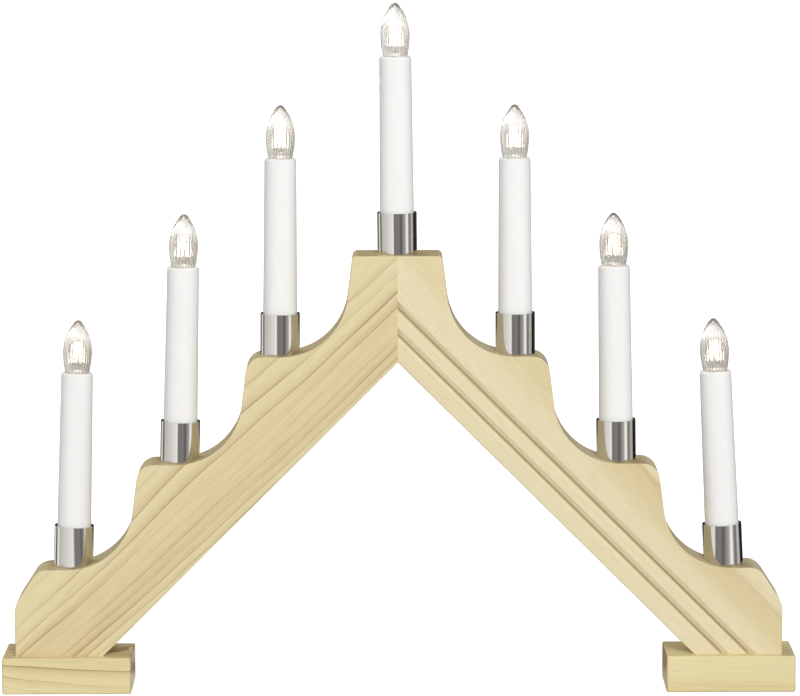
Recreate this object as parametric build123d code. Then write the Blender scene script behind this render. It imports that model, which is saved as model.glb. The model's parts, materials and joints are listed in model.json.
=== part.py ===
from build123d import *
import os
from math import cos, radians, sin, sqrt, tan

os.makedirs("parts", exist_ok=True)

# Electric candle arch: two stepped pine arms mitred at the peak, two foot blocks and seven screw lamps.
# Origin on the table, below the middle of the arch. X runs along the arch, the front faces -Y, Z is up.
# All sizes are in millimetres and degrees.

# Whole object
overall_width = 410.0
arm_thickness = 28.0
foot_depth = 38.0
foot_height = 19.0
foot_length = 66.6
foot_edge_round = 1.0

# Inner edge of the arms: straight, from the peak down to the toe of each leg
apex_height = 171.9
arm_slope = 45.0

# Candles, from the peak outwards: distance from the middle and height of the step that carries each
candle_x = (0.0, 60.6, 112.9, 168.7)
step_height = (227.0, 175.0, 119.2, 64.5)

# Lean of each candle in degrees, from left to right: a positive one leans its top to the right
candle_lean = (1.9, 1.6, 0.5, -0.4, -0.2, -0.9, -2.8)

# Stepped outer edge of the arms: risers lean outwards going down, and each runs into a cove
riser_top_x = (22.9, 77.0, 133.7)
riser_lean = 7.4
peak_radius = 2.5
cove_radius = 34.0
nose_radius = 9.0
shoulder_x = 186.2
shoulder_slope = 57.3
leg_end_x = 198.4
heel_radius = 14.0
edge_round = 0.8

# V grooves along the face of the arm: distance of each bottom line from the inner edge, and its two flanks
groove_offset = (10.2, 19.9)
groove_depth = 2.2
groove_lower_flank = 2.4
groove_upper_flank = 2.9

# Wire slot under the arms, the bores from it up to the lamps, and the wire
slot_width = 6.0
slot_depth = 6.0
wire_bore = 4.0
wire_radius = 0.8
wire_bend = 3.6
wire_gap = 1.9

# Steel cup, let into the step
cup_radius = 10.2
cup_height = 22.1
cup_wall = 0.6
cup_sink = 1.0
fit_gap = 0.1

# Candle sleeve: heights of this and of what follows are above the step
sleeve_top = 101.1
sleeve_foot_radius = 8.95
sleeve_top_radius = 8.2
sleeve_bore = 6.95
sleeve_mouth_radius = 6.6
sleeve_lip = 2.0
sleeve_round = 1.4

# Lampholder shaft with its screw seat
shaft_radius = 5.9
shaft_depth = 19.0
shaft_bore = 4.4
flange_radius = 6.9
head_radius = 6.5
head_bottom = 74.0
head_top = 94.0
shell_radius = 5.2
strip_thickness = 0.3
contact_width = 2.4
tail_width = 1.8
rivet_radius = 0.8

# Screw lamp with the small cap of 1.814 mm pitch
cap_radius = 4.65
cap_wall = 0.35
cap_length = 9.8
cap_top = 95.0
insulator_height = 1.5
solder_height = 0.7
glass_wall = 0.7
neck_radius = 4.3
belly_radius = 7.5
belly_height = 111.7
ogive_radius = 24.6
tip_radius = 2.4
stem_top = 103.5
stem_bead = 1.7
filament_foot = 107.2
filament_top = 117.0
filament_spread = 1.7

# Joinery
dowel_radius = 3.0
dowel_length = 36.0
dowel_y = 8.0
dowel_height = 192.0
screw_radius = 2.0
screw_head_radius = 4.0
screw_tip = 40.0
screw_places = ((161.0, 8.0), (189.0, -8.0))

# Worked out from the sizes above
seat_height = -cup_sink + cup_wall
cap_bottom = cap_top - cap_length
solder_top = cap_bottom - insulator_height
solder_bottom = solder_top - solder_height
contact_rise = 2.6
holder_floor = solder_bottom - contact_rise
floor_thickness = 1.6
toe_x = (apex_height - foot_height) / tan(radians(arm_slope))


def write(shape, node):
    """Write one named node."""
    export_step(shape, f"parts/{node}.step")


def bar(radius, low, high, x=0, y=0):
    """Round bar standing upright between two heights."""
    return Pos(x, y, low) * Cylinder(radius, high - low, align=(Align.CENTER, Align.CENTER, Align.MIN))


def turned(points, rounds=None):
    """Solid turned about Z from an outline of (radius, height) corners, with a rounding for each."""
    rounds = rounds or [0] * len(points)
    outline = FilletPolyline(*[(radius, 0, z) for radius, z in points], radius=rounds, close=True)
    return revolve(make_face(outline), Axis.Z)


# Wooden parts


def arm_corners():
    """Sharp corners of the right arm as seen from the front, with the radius that rounds each."""
    lean = tan(radians(riser_lean))
    corners = [((0, apex_height), 0), ((0, step_height[0]), 0)]
    for step, top_x in enumerate(riser_top_x):
        top, foot = step_height[step], step_height[step + 1]
        corners.append(((top_x, top), nose_radius if step else peak_radius))
        corners.append(((top_x + (top - foot) * lean, foot), cove_radius))
    heel_height = step_height[3] - (leg_end_x - shoulder_x) * tan(radians(shoulder_slope))
    corners += [((shoulder_x, step_height[3]), nose_radius), ((leg_end_x, heel_height), heel_radius)]
    corners += [((leg_end_x, foot_height), 0), ((toe_x, foot_height), 0)]
    return corners


def arm_blank():
    """Stepped board with its long edges softened, but not where it meets the other arm and the foot."""
    corners = arm_corners()
    points, rounds = [(x, 0, z) for (x, z), _ in corners], [radius for _, radius in corners]
    outline = FilletPolyline(*points, radius=rounds, close=True)
    blank = extrude(make_face(outline), amount=arm_thickness / 2, both=True)
    on_faces = blank.edges().filter_by(lambda edge: abs(edge.center().Y) > arm_thickness / 2 - 0.01)
    free = on_faces.filter_by(lambda edge: edge.center().X > 0.01 and edge.center().Z > foot_height + 0.01)
    return fillet(free, edge_round)


def along_arm(section, length):
    """Bar of the given YZ section, laid along the inner edge of the right arm from the peak down."""
    centred = Pos(-length / 2, 0, 0) * extrude(section, amount=length)
    return Pos(0, 0, apex_height) * Rot(0, arm_slope, 0) * centred


def groove_section(offset):
    """V groove in the front face, its lower flank a little steeper than the upper one."""
    face, outside = -arm_thickness / 2, -arm_thickness / 2 - 1
    low, high = offset - groove_lower_flank, offset + groove_upper_flank
    corners = [(face, low), (face + groove_depth, offset), (face, high), (outside, high), (outside, low)]
    return make_face(Polyline(*[(0, y, z) for y, z in corners], close=True))


def right_arm(leans):
    """Arm with grooves, wire slot and joinery holes, and a cup seat and bores at each candle's lean."""
    arm = arm_blank()
    length = 4 * leg_end_x
    for offset in groove_offset:
        arm -= along_arm(groove_section(offset), length)
    slot_section = Plane.YZ * Rectangle(slot_width, 2 * slot_depth)
    arm -= along_arm(slot_section, length)
    slot_end = candle_x[3] + slot_width
    arm -= Pos(slot_end, 0, foot_height) * Box(
        slot_end - toe_x + slot_depth, slot_width, slot_depth, align=(Align.MAX, Align.CENTER, Align.MIN)
    )
    for x, step, lean in zip(candle_x, step_height, leans):
        to_slot = max(apex_height - x - wire_bore, foot_height) - step
        cutter = bar(cup_radius + fit_gap, -cup_sink, cup_height) + bar(shaft_radius, -shaft_depth, 0)
        arm -= Pos(x, 0, step) * Rot(0, lean, 0) * (cutter + bar(wire_bore, to_slot, -shaft_depth))
    for y in (-dowel_y, dowel_y):
        arm -= Pos(0, y, dowel_height) * Rot(0, 90, 0) * Cylinder(dowel_radius, dowel_length)
    for x, y in screw_places:
        arm -= bar(screw_radius, foot_height, screw_tip, x, y)
    return arm


def right_foot():
    """Foot block with softened edges and two countersunk screw holes from below."""
    middle = (overall_width - foot_length) / 2
    block = Pos(middle, 0, foot_height / 2) * Box(foot_length, foot_depth, foot_height)
    foot = fillet(block.edges(), foot_edge_round)
    for x, y in screw_places:
        foot -= bar(screw_radius, 0, foot_height, x, y) + Pos(x, y, 0) * screw_head()
    return foot


def screw_head():
    """Countersunk head, its flat end at the bottom of the foot."""
    height = screw_head_radius - screw_radius
    return Pos(0, 0, height / 2) * Cone(screw_head_radius, screw_radius, height)


def foot_screw():
    """Wood screw, head downwards, with a cross recess and a pointed end."""
    point = 5.0
    shank = bar(screw_radius, screw_head_radius - screw_radius, screw_tip - point)
    end = Pos(0, 0, screw_tip - point / 2) * Cone(screw_radius, 0.3, point)
    recess = Box(4.0, 1.0, 2.4) + Box(1.0, 4.0, 2.4)
    return screw_head() + shank + end - recess


# Candles, each built on its own axis with the step at height 0


def cup():
    """Drawn steel cup with a hole in its floor for the lampholder shaft."""
    hole, inner = shaft_radius + fit_gap, cup_radius - cup_wall
    low, top, corner = -cup_sink, cup_height - cup_sink, 0.4
    outside = [(hole, low), (cup_radius - corner, low), (cup_radius, low + corner), (cup_radius, top)]
    inside = [(inner, top), (inner, seat_height), (hole, seat_height)]
    return turned(outside + inside)


def sleeve():
    """Candle sleeve, tapered outside and bored straight, with a rounded lip round the lamp."""
    lip_low = sleeve_top - sleeve_lip
    corners = [
        (sleeve_bore, seat_height),
        (sleeve_foot_radius, seat_height),
        (sleeve_top_radius, sleeve_top),
        (sleeve_mouth_radius, sleeve_top),
        (sleeve_mouth_radius, lip_low),
        (sleeve_bore, lip_low - 0.35),
    ]
    return turned(corners, [0, 0, sleeve_round, 0, 0, 0])


def lampholder():
    """Moulded shaft: peg in the wood, flange on the cup floor, and a head with the screw seat."""
    floor_low = holder_floor - floor_thickness
    guide_low, guide_top = 86.0, 90.0
    guide = sleeve_bore - 0.02
    body = turned(
        [
            (shaft_bore, -shaft_depth),
            (shaft_radius, -shaft_depth),
            (shaft_radius, seat_height),
            (flange_radius, seat_height),
            (flange_radius, seat_height + 1.5),
            (shaft_radius, seat_height + 2.5),
            (shaft_radius, head_bottom),
            (head_radius, head_bottom + 1),
            (head_radius, guide_low),
            (guide, guide_low + 0.5),
            (guide, guide_top),
            (head_radius, guide_top + 0.5),
            (head_radius, head_top),
            (shell_radius, head_top),
            (shell_radius, holder_floor),
            (0, holder_floor),
            (0, floor_low),
            (shaft_bore, floor_low),
        ]
    )
    tail_hole = Pos(0, -wire_gap, 0) * Box(tail_width, strip_thickness, 3 * head_top)
    return body - bar(rivet_radius, floor_low, holder_floor, 0, wire_gap) - tail_hole


def strip(path, width):
    """Thin metal strip bent along a path in the YZ plane."""
    return Plane.YZ * extrude(trace(path, strip_thickness), amount=width / 2, both=True)


def screw_shell():
    """Thin metal shell that lines the screw seat, with a tail through the seat floor to its wire."""
    low = solder_bottom + 1
    shell = bar(shell_radius, low, head_top) - bar(shell_radius - strip_thickness, low, head_top)
    wall, floor = shell_radius - strip_thickness, holder_floor + strip_thickness / 2
    tail_end = holder_floor - floor_thickness
    path = Polyline((-wall, low + 1), (-wall, floor), (-wire_gap, floor), (-wire_gap, tail_end))
    return shell + strip(path, tail_width)


def centre_contact():
    """Spring strip, riveted to the seat floor and bent back over it to press on the lamp's end contact."""
    low = holder_floor + strip_thickness / 2
    high = solder_bottom - strip_thickness / 2
    bend = (4.4, (low + high) / 2)
    path = FilletPolyline((0.7, low), (3.2, low), bend, (3.2, high), (-1.6, high), radius=0.6)
    rivet = bar(rivet_radius, holder_floor - floor_thickness, holder_floor, 0, wire_gap)
    return strip(path, contact_width) + rivet


def lamp_profile(inset):
    """Flame outline of the glass, moved inwards: neck, belly arc, pointed arc and rounded tip."""
    rise = belly_height - cap_top
    spread = belly_radius - neck_radius
    belly_arc = (rise**2 + spread**2) / (2 * spread)
    neck, belly = neck_radius - inset, belly_radius - inset
    neck_end = belly_height - sqrt((belly_arc - inset) ** 2 - (belly_arc - inset - spread) ** 2)
    axis_offset = ogive_radius - belly_radius
    centre_gap = ogive_radius - tip_radius
    tip_centre = belly_height + sqrt(centre_gap**2 - axis_offset**2)
    reach = (ogive_radius - inset) / centre_gap
    meet = (axis_offset * reach - axis_offset, 0, belly_height + (tip_centre - belly_height) * reach)
    belly_curve = TangentArc((belly, 0, belly_height), (neck, 0, neck_end), tangent=(0, 0, -1))
    ogive = TangentArc((belly, 0, belly_height), meet, tangent=(0, 0, 1))
    top, low = tip_centre + tip_radius - inset, cap_top - 2
    tip = TangentArc(meet, (0, 0, top), tangent=ogive % 1)
    rest = Polyline((0, 0, top), (0, 0, low), (neck, 0, low), (neck, 0, neck_end))
    return make_face([belly_curve, ogive, tip, rest])


def lamp_glass():
    """Hollow flame bulb, open at the neck, where the stem closes it."""
    return revolve(lamp_profile(0), Axis.Z) - revolve(lamp_profile(glass_wall), Axis.Z)


def lamp_cap():
    """Screw cap pressed from sheet, its lower rim turned in round the insulator."""
    inner, rim, corner = cap_radius - cap_wall, 3.4, 0.4
    corners = [
        (rim, cap_bottom),
        (cap_radius - corner, cap_bottom),
        (cap_radius, cap_bottom + corner),
        (cap_radius, cap_top),
        (inner, cap_top),
        (inner, cap_bottom + cap_wall),
        (rim, cap_bottom + cap_wall),
    ]
    return turned(corners)


def lamp_end():
    """Insulator with the end contact: a plug inside the cap, a cone below it and a drop of solder."""
    play = 0.05
    plug, cone = 3.4 - play, 4.2
    top = cap_bottom - play
    return turned(
        [
            (0, solder_bottom),
            (0.9, solder_bottom),
            (1.6, solder_top),
            (2.2, solder_top),
            (cone, top),
            (plug, top),
            (plug, cap_bottom + 1.2),
            (0, cap_bottom + 1.2),
        ]
    )


def lamp_stem():
    """Glass stem that closes the neck, with its bead, two leads and the upright hairpin filament."""
    low = cap_top - 2
    flare = neck_radius - glass_wall
    foot = [(0, low), (flare, low), (flare, low + 0.8), (1.9, low + 2.4), (1.3, stem_top - 0.5)]
    bead_top = stem_top + 2.6
    bead = [(stem_bead, stem_top + 0.7), (stem_bead, stem_top + 1.6), (0.8, bead_top), (0, bead_top)]
    lead_foot, hook = 0.7, 0.9
    right_side = [(hook, filament_top), (filament_spread, filament_foot), (lead_foot, stem_top)]
    left_side = [(-x, z) for x, z in reversed(right_side)]
    hairpin = FilletPolyline(*[(x, 0, z) for x, z in left_side + right_side], radius=0.6)
    wire_end = Plane(hairpin @ 0, z_dir=hairpin % 0)
    return turned(foot + bead) + sweep(wire_end * RegularPolygon(0.25, 6), path=hairpin)


# Wires, in series from lamp to lamp. Each turns out of a lamp's bore into the slot and up the next bore


def candles():
    """The seven candles from left to right: distance from the middle, step height and lean."""
    across = [-x for x in candle_x[:0:-1]] + list(candle_x)
    return list(zip(across, step_height[:0:-1] + step_height, candle_lean))


def on_axis(candle, y, height):
    """Point beside a candle's axis, at a height above its step along that axis."""
    x, step, lean = candle
    return x + height * sin(radians(lean)), y, step + height * cos(radians(lean))


def lamp_tag(candle, y):
    """Where a wire meets a tag under the screw seat of a candle."""
    return on_axis(candle, y, holder_floor - floor_thickness)


def slot_turn(candle, y):
    """Corners that a wire turns at to pass from the slot into the bore along a candle's axis."""
    x, step, lean = candle
    side = -1 if x < 0 else 1
    run = tan(radians(lean))
    ridge = apex_height + slot_depth / 2 / cos(radians(arm_slope))
    level = foot_height + slot_depth / 2
    meet = (x + (ridge - step) * run) / (1 + side * run)
    if abs(meet) < ridge - level:
        return [(meet, y, ridge - abs(meet))]
    return [(side * (ridge - level), y, level), (x + (level - step) * run, y, level)]


def wire(corners):
    """Wire through corners, with an eight-sided section, as the wires lie hidden in the slot."""
    path = FilletPolyline(*corners, radius=wire_bend)
    return sweep(Plane(path @ 0, z_dir=path % 0) * RegularPolygon(wire_radius, 8), path=path)


def wires():
    """Six links from lamp to lamp, the feed at the left foot and the return from the last lamp."""
    row = candles()
    made = []
    for number, (near, far) in enumerate(zip(row[:-1], row[1:])):
        y = wire_gap * (1 if number % 2 else -1)
        down, up = slot_turn(near, y)[::-1], slot_turn(far, y)
        made.append(wire([lamp_tag(near, y)] + down + up + [lamp_tag(far, y)]))
    entry = (8 - toe_x, 0, 0)
    first, last = row[0], row[-1]
    made.append(wire(slot_turn(entry, wire_gap) + slot_turn(first, wire_gap) + [lamp_tag(first, wire_gap)]))
    drop = [lamp_tag(last, -wire_gap), on_axis(last, -wire_gap, -shaft_depth)]
    along = slot_turn(last, 0)[::-1] + slot_turn((0, 0, 0), 0) + slot_turn(entry, 0)
    made.append(wire(drop + along))
    return made


def build():
    """Write every node in its place."""
    foot = right_foot()
    half_turn = Rot(0, 0, 180)
    write(right_arm(candle_lean[3:]), "arm_right")
    write(half_turn * right_arm([-lean for lean in candle_lean[3::-1]]), "arm_left")
    write(foot, "foot_right")
    write(half_turn * foot, "foot_left")
    pin = Cylinder(dowel_radius, dowel_length)
    dowel = Rot(0, 90, 0) * chamfer(pin.edges().filter_by(GeomType.CIRCLE), 0.5)
    write(Compound([Pos(0, y, dowel_height) * dowel for y in (-dowel_y, dowel_y)]), "mitre_dowels")
    screws = [Pos(x, y, 0) * foot_screw() for x, y in screw_places]
    write(Compound(screws + [half_turn * screw for screw in screws]), "foot_screws")

    places = [Pos(x, 0, step) * Rot(0, lean, 0) for x, step, lean in candles()]
    made = {
        "cup": cup(),
        "candle_sleeve": sleeve(),
        "lampholder": lampholder(),
        "lamp_glass": lamp_glass(),
        "lamp_cap": lamp_cap(),
        "lamp_end": lamp_end(),
        "lamp_filament": lamp_stem(),
    }
    for number, place in enumerate(places, start=1):
        for name, shape in made.items():
            write(place * shape, f"{name}_{number}")
    shell, contact = screw_shell(), centre_contact()
    write(Compound([place * shell for place in places]), "screw_shells")
    write(Compound([place * contact for place in places]), "centre_contacts")
    write(Compound(wires()), "lamp_wires")


build()
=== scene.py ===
import json
from math import cos, pi, radians, sin

import bmesh
import bpy
import numpy as np
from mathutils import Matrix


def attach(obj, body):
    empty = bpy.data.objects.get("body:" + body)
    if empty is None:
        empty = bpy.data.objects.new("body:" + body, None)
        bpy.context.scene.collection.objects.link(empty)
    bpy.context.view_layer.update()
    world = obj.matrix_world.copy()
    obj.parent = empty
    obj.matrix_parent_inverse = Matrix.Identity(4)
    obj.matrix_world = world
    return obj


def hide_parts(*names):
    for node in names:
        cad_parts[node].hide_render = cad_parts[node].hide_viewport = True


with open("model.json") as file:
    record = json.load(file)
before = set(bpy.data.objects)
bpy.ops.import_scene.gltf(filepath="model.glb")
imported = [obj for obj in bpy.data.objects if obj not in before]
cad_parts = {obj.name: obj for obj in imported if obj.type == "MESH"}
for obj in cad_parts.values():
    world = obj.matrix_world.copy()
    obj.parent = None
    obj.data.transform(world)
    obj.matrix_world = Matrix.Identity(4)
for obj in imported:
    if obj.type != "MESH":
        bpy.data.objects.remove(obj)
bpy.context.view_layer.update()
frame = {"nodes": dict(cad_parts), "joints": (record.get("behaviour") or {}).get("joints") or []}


# The two arms: stepped pine boards on edge, sawn from one moulding and dowelled together at a mitre.
# They are sanded and clear lacquered, so the grain follows each board down to its foot.


def shown(red, green, blue):
    """Colour as it shows on screen, 0 to 255, turned into the linear values that a shader takes."""
    level = np.array([red, green, blue]) / 255
    linear = np.where(level <= 0.04045, level / 12.92, ((level + 0.055) / 1.055) ** 2.4)
    return (*linear, 1.0)


def finish(name, colour, **sockets):
    """New material of one shader, with its own sockets set by name, such as Coat_Weight=0.3."""
    made = bpy.data.materials.new(name)
    made.use_nodes = True
    shader = made.node_tree.nodes["Principled BSDF"]
    shader.inputs["Base Color"].default_value = colour
    for socket, value in sockets.items():
        shader.inputs[socket.replace("_", " ")].default_value = value
    return made, made.node_tree, shader


def add(tree, kind, joined=None, **settings):
    """Adds a shader node and joins its inputs, by name or number: outputs are linked, values are set."""
    node = tree.nodes.new("ShaderNode" + kind)
    for key, value in settings.items():
        setattr(node, key, value)
    for key, value in (joined or {}).items():
        if isinstance(value, bpy.types.NodeSocket):
            tree.links.new(value, node.inputs[key])
        else:
            node.inputs[key].default_value = value
    return node


def feed(tree, shader, **sockets):
    """Links outputs to the shader's sockets, by name as in finish."""
    for socket, output in sockets.items():
        tree.links.new(output, shader.inputs[socket.replace("_", " ")])


def ramp(tree, factor, *stops):
    """Colour ramp over a factor, with stops of (place, grey level or colour)."""
    node = add(tree, "ValToRGB", {"Fac": factor})
    stops_made = node.color_ramp.elements
    while len(stops_made) < len(stops):
        stops_made.new(1.0)
    for made, (place, colour) in zip(stops_made, stops):
        made.position = place
        made.color = colour if isinstance(colour, tuple) else (colour, colour, colour, 1.0)
    return node.outputs["Color"]


def noise(tree, place, scale, detail=2.0, roughness=0.5):
    """Smooth noise from 0 to 1, its scale in waves to a metre."""
    joined = {"Vector": place, "Scale": scale, "Detail": detail, "Roughness": roughness}
    return add(tree, "TexNoise", joined).outputs["Fac"]


def reckon(tree, operation, *values, **settings):
    """Result of one sum on numbers and outputs."""
    return add(tree, "Math", dict(enumerate(values)), operation=operation, **settings).outputs[0]


def tint(tree, share, under, over, blend_type="MIX"):
    """One colour over another by a share, mixed or multiplied."""
    joined = {"Fac": share, "Color1": under, "Color2": over}
    return add(tree, "MixRGB", joined, blend_type=blend_type).outputs["Color"]


def relief(tree, height, strength, distance):
    """Bump from a height, its distance in metres."""
    joined = {"Strength": strength, "Distance": distance, "Height": height}
    return add(tree, "Bump", joined).outputs["Normal"]


def board_place(tree, spot, tilt, heart):
    """Place in the board from the tree's heart, with the run turned onto X and shortened to a fifth."""
    joined = {"Vector": spot, "Location": heart, "Rotation": (0, tilt, 0), "Scale": (5, 1, 1)}
    return add(tree, "Mapping", joined, vector_type="TEXTURE").outputs["Vector"]


def late_wood_lines(tree, board, ring, wander):
    """Share of late wood, which darkens slowly through a year's ring and ends at once.

    Ring phase = distance from the heart / ring width + slow noise, saw shaped.
    """
    joined = {
        "Vector": board, "Scale": 0.1 * pi / ring, "Distortion": wander, "Detail": 3.0, "Detail Scale": 0.2,
        "Detail Roughness": 0.4,
    }
    kind = {"wave_type": "RINGS", "rings_direction": "X", "wave_profile": "SAW"}
    phase = add(tree, "TexWave", joined, **kind).outputs["Fac"]
    early = (0.0, 0.0), (0.35, 0.05), (0.75, 0.3)
    late = (0.89, 0.5), (0.94, 1.0), (0.98, 0.9), (1.0, 0.0)
    return ramp(tree, phase, *early, *late)


def warm_band(tree, board, clouds, middle, half_width):
    """Share of the reddish band along the board, given by its middle and half width from the heart.

    Share = 1 in the middle, falling to a little beyond the half width, with edges that sway with the clouds.
    """
    sway = 0.016
    depth = add(tree, "SeparateXYZ", {0: board}).outputs["Z"]
    wavy = reckon(tree, "MULTIPLY_ADD", clouds, sway, depth)
    off = reckon(tree, "ABSOLUTE", reckon(tree, "SUBTRACT", wavy, middle + sway / 2))
    edge = {"From Min": 0.5 * half_width, "From Max": 1.3 * half_width, "To Min": 1.0, "To Max": 0.12}
    return add(tree, "MapRange", {"Value": off, **edge}, interpolation_type="SMOOTHSTEP").outputs[0]


def pine(name, tilt, heart, ring, colours, wander, figure, warm_zone):
    """Lacquered pine, drawn in solid board coordinates and stretched along the grain.

    The figure is how strongly the rings show. It is stronger in the warm zone, and slow noise fades it in
    patches. Cut across the grain, the wood drinks more lacquer and turns darker; on the arms this darkening
    also paints shade on the step tops and risers. Painted shade darkens the wood close to an inner corner,
    as at the bottom of the grooves.
    """
    pale, late_wood, warm_wood = colours
    painted_shade_reach = 0.003
    made, tree, shader = finish(name, pale, Roughness=0.42, Coat_Weight=0.25, Coat_Roughness=0.25)
    spot = add(tree, "TexCoord")
    board = board_place(tree, spot.outputs["Object"], tilt, heart)
    slower = {0: board, 1: (0.4, 1.0, 1.0)}
    drawn_out = add(tree, "VectorMath", slower, operation="MULTIPLY").outputs["Vector"]

    clouds = noise(tree, drawn_out, 26.0)
    zone = warm_band(tree, board, clouds, *warm_zone)
    blush = reckon(tree, "MULTIPLY", zone, ramp(tree, clouds, (0.34, 0.2), (0.62, 0.8)))
    wood = tint(tree, blush, pale, warm_wood)

    strength = ramp(tree, noise(tree, drawn_out, 55.0), (0.38, 0.1), (0.6, 1.0))
    drawn = add(tree, "MapRange", {"Value": zone, "To Min": 0.45 * figure, "To Max": figure}).outputs[0]
    shade = reckon(tree, "MULTIPLY", late_wood_lines(tree, board, ring, wander), strength)
    wood = tint(tree, reckon(tree, "MULTIPLY", shade, drawn), wood, late_wood)

    fibres = noise(tree, drawn_out, 900.0, 5.0, 0.7)
    fine = ramp(tree, fibres, (0.3, shown(238, 233, 222)), (0.56, 1.0))
    wood = tint(tree, 0.55, wood, fine, "MULTIPLY")

    # Faces cut across the grain turn darker, as end grain drinks more lacquer; on the arms the same darkening
    # also paints the shade on the step tops and risers.
    facing = {0: spot.outputs["Normal"], 1: (cos(tilt), 0.0, -sin(tilt))}
    along_run = add(tree, "VectorMath", facing, operation="DOT_PRODUCT").outputs["Value"]
    end_grain_and_painted_shade = ramp(tree, reckon(tree, "ABSOLUTE", along_run), (0.3, 1.0), (1.0, shown(214, 198, 172)))
    wood = tint(tree, 1.0, wood, end_grain_and_painted_shade, "MULTIPLY")
    # Painted shade: an ambient occlusion mask darkens the wood towards dark brown (138, 106, 70) close to
    # inner corners and at the bottom of the grooves.
    corner = {"Distance": painted_shade_reach}
    painted_corner_shade = add(tree, "AmbientOcclusion", corner, samples=8, only_local=True).outputs["AO"]
    wood = tint(tree, 1.0, wood, ramp(tree, painted_corner_shade, (0.5, shown(138, 106, 70)), (0.82, 1.0)), "MULTIPLY")
    feed(tree, shader, Base_Color=wood, Normal=relief(tree, fibres, 0.22, 0.0001))
    return made


def across_board(side, across, behind):
    """Place of the tree's heart: so far from the origin, in metres and square to an arm's run, and behind."""
    return side * across * sin(pi / 4), behind, across * cos(pi / 4)


def dress(node, material):
    """Gives a CAD node one material."""
    mesh = frame["nodes"][node].data
    mesh.materials.clear()
    mesh.materials.append(material)


dress("arm_left", pine(
    "pine_left_arm", tilt=-pi / 4 + radians(1.5), heart=across_board(-1, 0.184, 0.018), ring=0.0037,
    colours=(shown(230, 216, 171), shown(160, 125, 80), shown(214, 188, 145)),
    wander=17.0, figure=1.4, warm_zone=(-0.045, 0.012),
))
dress("arm_right", pine(
    "pine_right_arm", tilt=pi / 4 + radians(2.0), heart=across_board(1, 0.150, 0.105), ring=0.0042,
    colours=(shown(233, 221, 184), shown(198, 176, 130), shown(226, 209, 163)),
    wander=6.0, figure=0.6, warm_zone=(0.016, 0.012),
))


# The two feet: pine blocks laid with the grain along the arch, their edges eased by hand sanding.
# The left one shows bold rings that dip to the right, the right one comes from quieter wood.

foot_colours = shown(233, 220, 171), shown(178, 150, 94), shown(227, 208, 154)
dress("foot_left", pine(
    "pine_left_foot", tilt=0.09, heart=(0.0, 0.016, -0.030), ring=0.0034, colours=foot_colours,
    wander=26.0, figure=1.4, warm_zone=(0.045, 0.030),
))
dress("foot_right", pine(
    "pine_right_foot", tilt=0.02, heart=(0.0, 0.060, 0.052), ring=0.0036, colours=foot_colours,
    wander=7.0, figure=0.8, warm_zone=(-0.050, 0.008),
))


# Joinery out of sight: two beech dowels glued across the mitre, and two zinc-plated wood screws for each
# foot, countersunk in it from below and driven up into the arm.


def on_piece(tree, stretch=(1, 1, 1)):
    """Place on the piece in metres, multiplied by the axis for patterns that are drawn out."""
    spot = add(tree, "TexCoord").outputs["Object"]
    return add(tree, "Mapping", {"Vector": spot, "Scale": stretch}).outputs["Vector"]


def beech():
    """Turned beech: fine even fibres along the dowel."""
    made, tree, shader = finish("beech_dowel", shown(214, 180, 138), Roughness=0.6)
    fibres = noise(tree, on_piece(tree, (60, 900, 900)), 1.0, 4.0)
    wood = ramp(tree, fibres, (0.35, shown(190, 150, 108)), (0.6, shown(222, 190, 150)))
    feed(tree, shader, Base_Color=wood)
    return made


def zinc():
    """Zinc plate: grey metal with a spangle of slightly duller patches."""
    made, tree, shader = finish("zinc_plate", shown(200, 200, 196), Metallic=1.0, Roughness=0.35)
    spangle = noise(tree, on_piece(tree), 900.0, 3.0)
    feed(tree, shader, Roughness=ramp(tree, spangle, (0.35, 0.25), (0.65, 0.5)))
    return made


dress("mitre_dowels", beech())
dress("foot_screws", zinc())


# Seven cups, drawn from steel sheet and polished round and round, each let into the step below it.
# The polishing lines run round the cup, so what it mirrors is drawn out into upright bands.


def brushed_steel():
    """Steel with fine lines round the cup: noise squeezed over two hundred times along the height."""
    made, tree, shader = finish("brushed_steel", shown(218, 214, 208), Metallic=1.0, Roughness=0.07)
    scratch = noise(tree, on_piece(tree, (40, 40, 9000)), 1.0, 4.0, 0.65)
    rough = ramp(tree, scratch, (0.3, 0.05), (0.7, 0.11))
    feed(tree, shader, Roughness=rough, Normal=relief(tree, scratch, 0.35, 0.00002))
    return made


steel = brushed_steel()
for number in range(1, 8):
    dress(f"cup_{number}", steel)


# Seven candle sleeves, moulded in white plastic, with the lampholder's shaft inside them.
# The shaft is a push fit in the wood through the floor of the cup and carries the screw seat.


def white_plastic(name, colour, roughness):
    """Moulded plastic: a faint flow mottle in its gloss and a very slight orange-peel bump."""
    glow_through = {"Subsurface_Weight": 0.12, "Subsurface_Scale": 0.002}
    made, tree, shader = finish(name, colour, Roughness=roughness, **glow_through)
    place = on_piece(tree)
    gloss = ramp(tree, noise(tree, place, 180.0), (0.3, roughness - 0.06), (0.7, roughness + 0.06))
    feed(tree, shader, Roughness=gloss, Normal=relief(tree, noise(tree, place, 700.0, 1.0), 0.05, 0.0001))
    return made


sleeve_plastic = white_plastic("sleeve_plastic", shown(244, 243, 241), 0.34)
holder_plastic = white_plastic("holder_plastic", shown(235, 232, 222), 0.5)
for number in range(1, 8):
    dress(f"candle_sleeve_{number}", sleeve_plastic)
    dress(f"lampholder_{number}", holder_plastic)


# Electric parts out of sight: pressed brass screw shells and contact springs, and the wires in their slot.
# The wires are plain stranded hook-up wire, pushed into the slot under the arms before the feet go on.


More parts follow.
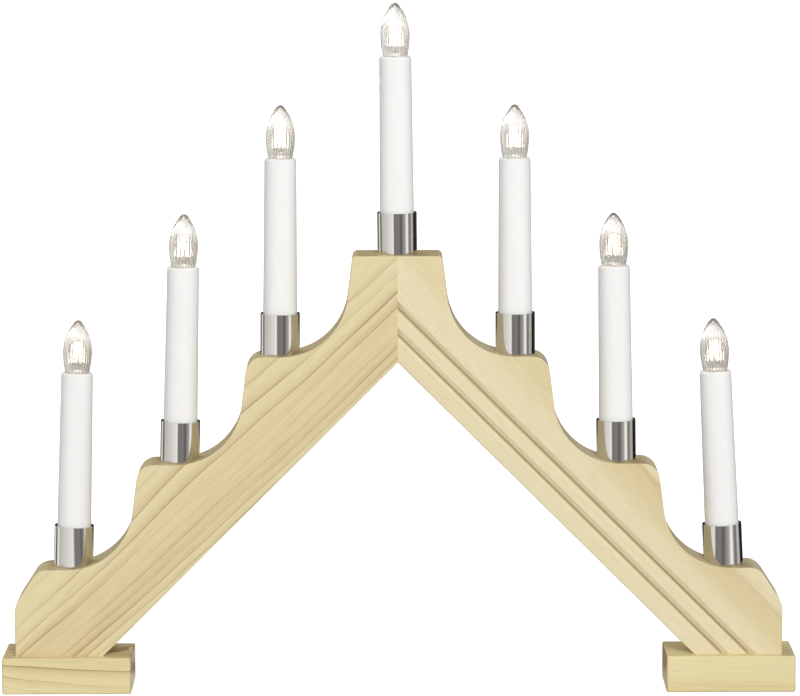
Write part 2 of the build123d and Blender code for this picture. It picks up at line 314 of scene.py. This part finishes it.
def brass():
    """Bare sheet brass with a faint tarnish in patches."""
    made, tree, shader = finish("contact_brass", shown(214, 186, 120), Metallic=1.0, Roughness=0.3)
    tarnish = noise(tree, on_piece(tree), 400.0, 3.0)
    sheet = ramp(tree, tarnish, (0.35, shown(180, 148, 88)), (0.6, shown(218, 190, 124)))
    feed(tree, shader, Base_Color=sheet)
    return made


def wire_jacket():
    """Soft dark green PVC with a faint extrusion sheen."""
    made, tree, shader = finish("wire_jacket", shown(46, 84, 56), Roughness=0.45)
    feed(tree, shader, Roughness=ramp(tree, noise(tree, on_piece(tree), 500.0), (0.3, 0.38), (0.7, 0.55)))
    return made


shell_brass = brass()
dress("screw_shells", shell_brass)
dress("centre_contacts", shell_brass)
dress("lamp_wires", wire_jacket())


# Seven flame-shaped lamps, blown in clear glass against a fluted mould, so their walls act as fine lenses.
# Each is drawn off at the tip, where its wall is thickest, and its open neck goes into the cap.

joint_height = 85.0
neck_bottom, neck_top, belly_height = 93.0, 95.0, 111.7
neck_radius, belly_radius = 4.3, 7.5
ogive_radius, tip_radius = 24.6, 2.4
ogive_offset = ogive_radius - belly_radius
tip_centre = belly_height + np.sqrt((ogive_radius - tip_radius) ** 2 - ogive_offset**2)
tip_top = tip_centre + tip_radius
flutes, flute_depth = 30, 0.26
flute_start, flute_stop, flute_fade = 97.0, tip_top - 0.8, 4.0
glass_wall, thick_tip = 0.6, 1.4
thick_start, thick_run = 116.0, 8.0


def placed(grid, number):
    """Grid in mm, moved from a candle's own upright axis onto its leaning axis on the arch.

    The frame's turning joint gives the axis, and it stands at a known height above the step.
    """
    joint = next(joint for joint in frame["joints"] if joint["name"] == f"lamp_{number}_turn")
    axis = np.array(joint["axis"], dtype=float)
    step = 1000 * np.array(joint["pos_m"]) - joint_height * axis
    side = np.array([axis[2], 0.0, -axis[0]])
    return step + grid[..., :1] * side + grid[..., 1:2] * np.array([0.0, 1.0, 0.0]) + grid[..., 2:] * axis


def surface(name, grid, body, material, stands_for=(), along=False):
    """Mesh of a grid of points in mm, rows by columns by xyz, closed around and, if asked, along as well.

    Rows that shrink to a point are merged there, and all faces are turned outwards.
    """
    rows, columns = grid.shape[:2]
    index = np.arange(rows * columns).reshape(rows, columns)
    ahead = np.roll(index, -1, axis=1)
    above, above_ahead = np.roll(index, -1, axis=0), np.roll(ahead, -1, axis=0)
    quads = np.stack([index, ahead, above_ahead, above], axis=-1)
    quads = quads[:rows if along else rows - 1].reshape(-1, 4)
    mesh = bpy.data.meshes.new(name)
    mesh.from_pydata((grid.reshape(-1, 3) / 1000).tolist(), [], quads.tolist())
    shape = bmesh.new()
    shape.from_mesh(mesh)
    bmesh.ops.remove_doubles(shape, verts=shape.verts, dist=1e-7)
    bmesh.ops.recalc_face_normals(shape, faces=shape.faces)
    shape.to_mesh(mesh)
    shape.free()
    mesh.shade_smooth()
    mesh.set_sharp_from_angle(angle=radians(40))
    mesh.materials.append(material)
    piece = bpy.data.objects.new(name, mesh)
    bpy.context.scene.collection.objects.link(piece)
    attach(piece, body)
    if stands_for:
        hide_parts(*stands_for)
    return piece


def lamp_radius(height, inset=0.0):
    """Half width of the flame shape at a height above the step, in mm, moved inwards by an inset.

    Below the belly an arc runs in to the neck, above it a pointed arc runs up to a small round tip.
    """
    rise, spread = belly_height - neck_top, belly_radius - neck_radius
    inner_arc = (rise**2 + spread**2) / (2 * spread) - inset
    drop = np.maximum(belly_height - height, 0.0)
    below = belly_radius - inset - inner_arc + np.sqrt(np.maximum(inner_arc**2 - drop**2, 0.0))
    below = np.maximum(below, neck_radius - inset)
    climb = np.maximum(height - belly_height, 0.0)
    pointed = np.sqrt(np.maximum((ogive_radius - inset) ** 2 - climb**2, 0.0)) - ogive_offset
    ball = np.sqrt(np.maximum((tip_radius - inset) ** 2 - (height - tip_centre) ** 2, 0.0))
    reach = (ogive_radius - inset) / (ogive_radius - tip_radius)
    meet = belly_height + (tip_centre - belly_height) * reach
    return np.where(height < belly_height, below, np.where(height < meet, pointed, ball))


def turned(radius, height, columns):
    """Grid of a profile turned about an upright axis: x = r cos a, y = r sin a, with r and z by row."""
    angle = np.linspace(0, 2 * pi, columns, endpoint=False)
    if np.ndim(radius) == 1:
        radius = radius[:, None]
    radius, height = np.broadcast_arrays(radius + 0 * angle, np.asarray(height)[:, None])
    return np.stack([radius * np.cos(angle), radius * np.sin(angle), height], axis=-1)


def fluted_glass():
    """Wall of the lamp: the flame shape outside, pressed in by a cosine of the flutes, and smooth inside.

    r = R(z) - depth(z) (1 - cos(flutes a)) / 2, where the depth fades out at the neck and at the tip.
    The wall grows thicker towards the tip, where the bulb was drawn off.
    """
    columns = flutes * 8
    angle = np.linspace(0, 2 * pi, columns, endpoint=False)
    share = np.sin(np.linspace(0, pi / 2, 84))
    outside = neck_bottom + (tip_top - neck_bottom) * share
    radius = lamp_radius(outside)
    radius[-1] = 0.0
    fade = np.clip((outside - flute_start) / flute_fade, 0, 1)
    fade *= np.clip((flute_stop - outside) / flute_fade, 0, 1)
    outer = radius[:, None] - flute_depth * fade[:, None] * (1 - np.cos(flutes * angle)) / 2
    inside = neck_bottom + (tip_top - glass_wall - thick_tip - neck_bottom) * share[::-3]
    thickening = np.clip((inside - thick_start) / thick_run, 0, 1) ** 2
    inner = lamp_radius(inside, glass_wall + thick_tip * thickening)
    inner[0] = 0.0
    radii = np.concatenate([outer, np.repeat(inner[:, None], columns, axis=1)])
    return turned(radii, np.concatenate([outside, inside]), columns)


def clear_glass():
    """Clear soda glass, a touch grey through its thickness and uneven from blowing.

    A faint warm emission over the whole wall paints the glow of the filament's light caught in its ribs.
    """
    # Painted glow: the warm emission colour and strength below light the glass as though it were a lamp.
    made, tree, shader = finish(
        "ribbed_glass", (0.97, 0.965, 0.955, 1.0), Roughness=0.22, IOR=1.5, Transmission_Weight=1.0,
        Emission_Color=(1.0, 0.92, 0.78, 1.0), Emission_Strength=0.05,
    )
    feed(tree, shader, Normal=relief(tree, noise(tree, on_piece(tree), 260.0, 1.0), 0.06, 0.0002))
    smoke = add(tree, "VolumeAbsorption", {"Color": (0.62, 0.60, 0.57, 1.0), "Density": 130.0})
    tree.links.new(smoke.outputs["Volume"], tree.nodes["Material Output"].inputs["Volume"])
    return made


ribbed = clear_glass()
for number in range(1, 8):
    glass = placed(fluted_glass(), number)
    replaced = [f"lamp_glass_{number}"]
    surface(f"ribbed_glass_{number}", glass, f"lamp_{number}", ribbed, replaced, along=True)


# Seven screw caps, pressed from nickel-plated sheet with a rolled thread and cemented to the glass.
# Each is closed below by an insulator of black glass, which carries the end contact.

cap_low, cap_high, cap_wall = 85.2, 95.0, 0.35
cap_radius, cap_mouth, cap_rounding = 4.65, 3.4, 0.25
thread_pitch, thread_depth = 1.814, 0.36
thread_bottom, thread_top, thread_fade = cap_low + 0.6, cap_high - 1.2, 0.8


def threaded_cap():
    """Cap with a rolled thread: r = major - depth (1 - cos(2 pi z / pitch - a)) / 2, faded at both ends."""
    columns = 72
    angle = np.linspace(0, 2 * pi, columns, endpoint=False)
    height = np.linspace(cap_low, cap_high, 90)
    fade = np.clip((height - thread_bottom) / thread_fade, 0, 1)
    fade *= np.clip((thread_top - height) / thread_fade, 0, 1)
    turn = 2 * pi * height[:, None] / thread_pitch - angle
    outer = cap_radius - thread_depth * fade[:, None] * (1 - np.cos(turn)) / 2
    outer[0] -= cap_rounding
    inner = outer[::-1] - cap_wall
    rim = np.full((1, columns), cap_mouth)
    radii = np.concatenate([rim, outer, inner[:-1], rim])
    heights = np.concatenate([[cap_low], height, height[::-1][:-1], [cap_low + cap_wall]])
    return turned(radii, heights, columns)


def nickel():
    """Nickel-plated cap metal with faint drag lines round it."""
    made, tree, shader = finish("nickel_cap", shown(206, 200, 188), Metallic=1.0, Roughness=0.25)
    lines = noise(tree, on_piece(tree, (60, 60, 4000)), 1.0, 3.0)
    feed(tree, shader, Roughness=ramp(tree, lines, (0.3, 0.2), (0.7, 0.36)))
    return made


def cap_end():
    """Black glass with a faint grey speckle."""
    made, tree, shader = finish("cap_end", shown(34, 33, 34), Roughness=0.2)
    speckle = noise(tree, on_piece(tree), 800.0)
    feed(tree, shader, Base_Color=ramp(tree, speckle, (0.35, shown(26, 25, 27)), (0.7, shown(52, 49, 48))))
    return made


cap_metal, insulator = nickel(), cap_end()
for number in range(1, 8):
    cap = placed(threaded_cap(), number)
    replaced = [f"lamp_cap_{number}"]
    surface(f"threaded_cap_{number}", cap, f"lamp_{number}", cap_metal, replaced, along=True)
    dress(f"lamp_end_{number}", insulator)


# Seven glass stems, melted into the necks of the lamps to carry the leads.
# Each is drawn from a tube by hand: a flare in the neck, a waist, and the bead that grips the leads.


def stem():
    """Turned grid of the stem, as straight runs between points of (radius, height) in mm."""
    profile = np.array([
        (0.0, 93.0), (3.55, 93.0), (3.6, 93.8), (3.3, 94.4), (2.2, 95.4), (1.9, 96.5), (1.7, 98.3),
        (1.3, 100.2), (1.1, 101.0), (1.2, 101.6), (1.6, 102.2), (1.7, 102.9), (1.5, 103.6), (0.9, 104.0),
        (0.0, 104.1),
    ])
    corners = np.arange(len(profile))
    fine = np.linspace(0, corners[-1], 70)
    radius, height = (np.interp(fine, corners, column) for column in profile.T)
    return turned(radius, height, 32)


def stem_glass():
    """Lead glass of the stem: clear, with a slow wave in it."""
    made, tree, shader = finish(
        "stem_glass", (0.97, 0.95, 0.92, 1.0), Roughness=0.08, IOR=1.5, Transmission_Weight=1.0,
    )
    feed(tree, shader, Normal=relief(tree, noise(tree, on_piece(tree), 420.0, 1.0), 0.2, 0.0002))
    return made


stem_finish = stem_glass()
for number in range(1, 8):
    body, replaced = f"lamp_{number}", [f"lamp_filament_{number}"]
    surface(f"glass_stem_{number}", placed(stem(), number), body, stem_finish, replaced)


# Seven filaments, coiled from tungsten wire, bent to a hairpin and clamped in two nickel leads.
# The leads come out of the stem's bead and spread to the hairpin's feet.

hairpin_spread, hairpin_foot, hairpin_rise = 2.2, 106.4, 10.2
hairpin_narrowing, hairpin_sway = 0.45, 0.35
coil_radius, coil_ridge = 0.26, 0.06
lead_radius, lead_gap, lead_foot = 0.16, 1.0, 102.6


def hairpin(samples=120):
    """Path of the hot filament: up from one lead, over the top and down to the other, in mm.

    x = spread cos t (1 - narrowing sin t), y = sway sin 2t, and z rises by a power of sin t, for t from
    0 to pi.
    """
    t = np.linspace(0, pi, samples)
    x = hairpin_spread * np.cos(t) * (1 - hairpin_narrowing * np.sin(t))
    z = hairpin_foot + hairpin_rise * np.sin(t) ** 0.8
    return np.stack([x, hairpin_sway * np.sin(2 * t), z], axis=1)


def tube(path, radius, sides=10):
    """Grid of a round tube along a path of points in mm, its ends drawn in to a point.

    Each ring is the point + r (side cos a + up sin a), with side and up square to the path's run.
    """
    run = np.gradient(path, axis=0)
    run /= np.linalg.norm(run, axis=1)[:, None]
    side = np.cross(run, (0.0, 1.0, 0.0))
    side /= np.linalg.norm(side, axis=1)[:, None]
    up = np.cross(side, run)
    angle = np.linspace(0, 2 * pi, sides, endpoint=False)[None, :, None]
    size = np.broadcast_to(radius, len(path))[:, None, None]
    rings = path[:, None] + size * (side[:, None] * np.cos(angle) + up[:, None] * np.sin(angle))
    ends = np.repeat(path[[0, -1], None], sides, axis=1)
    return np.concatenate([ends[:1], rings, ends[1:]])


def hot_filament():
    """Glowing tungsten coil, its light a little uneven from turn to turn."""
    tungsten = shown(255, 214, 150)
    made, tree, shader = finish("hot_filament", tungsten, Roughness=0.5, Emission_Strength=90.0)
    turns = noise(tree, on_piece(tree), 900.0)
    glow = ramp(tree, turns, (0.3, (1.0, 0.84, 0.60, 1.0)), (0.6, (1.0, 0.93, 0.80, 1.0)))
    feed(tree, shader, Emission_Color=glow)
    return made


def lead_metal():
    """Drawn nickel wire, dulled by the heat."""
    made, tree, shader = finish("lead_wire", shown(150, 140, 128), Metallic=1.0, Roughness=0.4)
    feed(tree, shader, Roughness=ramp(tree, noise(tree, on_piece(tree), 600.0), (0.35, 0.3), (0.65, 0.55)))
    return made


filament_metal, lead_finish = hot_filament(), lead_metal()
hot = hairpin()
coil = coil_radius + coil_ridge * np.cos(np.arange(len(hot)) * pi)
for number in range(1, 8):
    body = f"lamp_{number}"
    surface(f"filament_coil_{number}", placed(tube(hot, coil), number), body, filament_metal)
    for side, end in (("left", hot[-1]), ("right", hot[0])):
        foot = np.array([lead_gap / 2 * np.sign(end[0]), 0.0, lead_foot])
        line = foot + (end - foot) * np.linspace(0, 1, 12)[:, None]
        lead = placed(tube(line, lead_radius, 8), number)
        surface(f"lead_{side}_{number}", lead, body, lead_finish)


# The setting: a white sweep under and behind the arch, which keeps a faint shadow under the feet.
# A large soft lamp stands in front and a weaker one behind, and the room's own light is even and pale.


def studio_walls(tree, direction):
    """Grey of the room by bearing, as polished steel mirrors it.

    Bearing = angle of (right, front), so 0 is in front and a quarter turn is to the right. The stops run
    from behind by the left, the front and the right to behind again. White cards stand at the left and to
    both sides of the front, with pale wall between, and dark felt hangs in front, at the right and behind.
    """
    parts = add(tree, "SeparateXYZ", {0: direction})
    front = reckon(tree, "MULTIPLY", parts.outputs["Y"], -1.0)
    bearing = reckon(tree, "ARCTAN2", parts.outputs["X"], front)
    turn = add(tree, "MapRange", {"Value": bearing, "From Min": -pi, "From Max": pi}).outputs[0]
    return ramp(
        tree, turn,
        (0.0, 0.06), (0.12, 0.10), (0.14, 1.0), (0.17, 0.9), (0.19, 0.06), (0.205, 0.06), (0.22, 1.1),
        (0.24, 1.1), (0.255, 0.68), (0.42, 1.05), (0.438, 1.3), (0.45, 0.24), (0.53, 0.28), (0.565, 0.13),
        (0.60, 0.36), (0.64, 0.55), (0.65, 1.2), (0.675, 1.2), (0.70, 0.27), (0.735, 0.25), (0.75, 0.7),
        (0.785, 0.6), (0.80, 0.02), (0.87, 0.02), (0.93, 0.14), (1.0, 0.06),
    )


def seen(tree, path):
    """1 on rays from the eye, through glass as well, and 0 on all others."""
    direct, through = path.outputs["Is Camera Ray"], path.outputs["Is Transmission Ray"]
    return reckon(tree, "ADD", direct, through, use_clamp=True)


def white_sweep():
    """White paper that shows white to the eye and through glass, while polished metal mirrors the room in it.

    Its own light rises with the distance from the arch, so the paper is white all over but keeps the shadow.
    """
    made = bpy.data.materials.new("white_sweep")
    made.use_nodes = True
    tree = made.node_tree
    tree.nodes.remove(tree.nodes["Principled BSDF"])
    path = add(tree, "LightPath")
    place = add(tree, "TexCoord").outputs["Object"]
    distance = add(tree, "VectorMath", {0: place}, operation="LENGTH").outputs["Value"]
    rise = {"Value": distance, "From Min": 0.2, "From Max": 0.6, "To Min": 0.75, "To Max": 1.0}
    own = reckon(tree, "MULTIPLY", seen(tree, path), add(tree, "MapRange", rise).outputs[0])
    paper = add(tree, "BsdfDiffuse", {"Color": (0.60, 0.60, 0.60, 1.0)})
    glow = add(tree, "Emission", {"Color": (1.0, 1.0, 1.0, 1.0), "Strength": own})
    lit = add(tree, "AddShader", {0: paper.outputs[0], 1: glow.outputs[0]})
    mirrored = add(tree, "Emission", {"Color": studio_walls(tree, place)})
    both = {0: path.outputs["Is Glossy Ray"], 1: lit.outputs[0], 2: mirrored.outputs[0]}
    tree.links.new(add(tree, "MixShader", both).outputs[0], tree.nodes["Material Output"].inputs["Surface"])
    return made


reach = 8
floor_mesh = bpy.data.meshes.new("floor")
corners = (-reach, -reach, 0), (reach, -reach, 0), (reach, reach, 0), (-reach, reach, 0)
floor_mesh.from_pydata(corners, [], [(0, 1, 2, 3)])
floor_mesh.materials.append(white_sweep())
floor = bpy.data.objects.new("floor", floor_mesh)
bpy.context.scene.collection.objects.link(floor)

room = bpy.data.worlds.new("room")
bpy.context.scene.world = room
room.use_nodes = True
sky = room.node_tree
sky_direction = add(sky, "TexCoord").outputs["Generated"]
upward = add(sky, "SeparateXYZ", {0: sky_direction}).outputs["Z"]
fill = ramp(sky, upward, (0.0, 0.70), (0.35, 0.48), (1.0, 0.16))
sky_path = add(sky, "LightPath")
sky_light = tint(sky, sky_path.outputs["Is Glossy Ray"], fill, studio_walls(sky, sky_direction))
sky_light = tint(sky, seen(sky, sky_path), sky_light, (1.0, 1.0, 1.0, 1.0))
sky.links.new(sky_light, sky.nodes["Background"].inputs["Color"])

softbox_size, softbox_reach, softbox_elevation, aimed_at = 1.8, 4.8, radians(30), 0.15
for name, bearing, power in (("softbox_front", radians(10), 151.0), ("softbox_behind", radians(-152), 85.0)):
    softbox = bpy.data.lights.new(name, "AREA")
    softbox.shape, softbox.energy = "RECTANGLE", power
    softbox.size, softbox.size_y = softbox_size, softbox_size
    stand = bpy.data.objects.new(name, softbox)
    level = softbox_reach * cos(softbox_elevation)
    height = aimed_at + softbox_reach * sin(softbox_elevation)
    stand.location = level * sin(bearing), -level * cos(bearing), height
    stand.rotation_euler = (pi / 2 - softbox_elevation, 0.0, bearing)
    stand.visible_glossy = False
    bpy.context.scene.collection.objects.link(stand)


# The camera: far back and a little above the candles, looking slightly down, as in the photograph.
# Its lens is the one that gives the photograph's widths at that distance.

lens = bpy.data.cameras.new("camera")
lens.sensor_width, lens.lens = 36.0, 185.19
camera = bpy.data.objects.new("camera", lens)
camera.location = (0.0012, -2.1, 0.4746)
camera.rotation_mode = "ZYX"
camera.rotation_euler = (radians(90 - 8.049), 0.0, radians(-0.2))
bpy.context.scene.collection.objects.link(camera)
bpy.context.scene.camera = camera
bpy.context.scene.view_settings.view_transform = "Standard"
